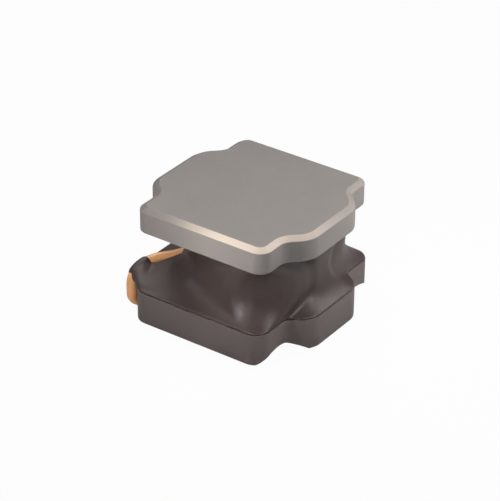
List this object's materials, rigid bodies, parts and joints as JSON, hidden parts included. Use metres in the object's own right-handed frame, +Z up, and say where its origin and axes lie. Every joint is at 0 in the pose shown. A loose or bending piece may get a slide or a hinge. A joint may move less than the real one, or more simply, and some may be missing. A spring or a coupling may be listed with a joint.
{
  "type": "shielded smd inductor",
  "caption": "Low square surface-mount power inductor: ferrite drum core with recessed corners, copper winding closed in by dark magnetic resin, terminals underneath.",
  "frame": {"origin": "centre of the underside, on the board's surface", "axes": "+X along the length between the two recessed sides, pointing away from the leads; +Y across the width; +Z up from the board through the upper flange"},
  "size_m": [0.006, 0.006, 0.0038],
  "materials": {
    "ferrite": "ground sintered ferrite, satin",
    "enamelled_copper": "enamelled copper wire, satin",
    "magnetic_resin": "cured epoxy filled with magnetic powder, soft sheen",
    "plating": "tin plating, satin",
    "solder": "reflowed solder, bright satin"
  },
  "bodies": {
    "root": {"drum_core": "ferrite", "winding": "enamelled_copper", "magnetic_resin": "magnetic_resin", "front_terminal": "plating", "back_terminal": "plating", "front_solder": "solder", "back_solder": "solder"}
  },
  "joints": []
}
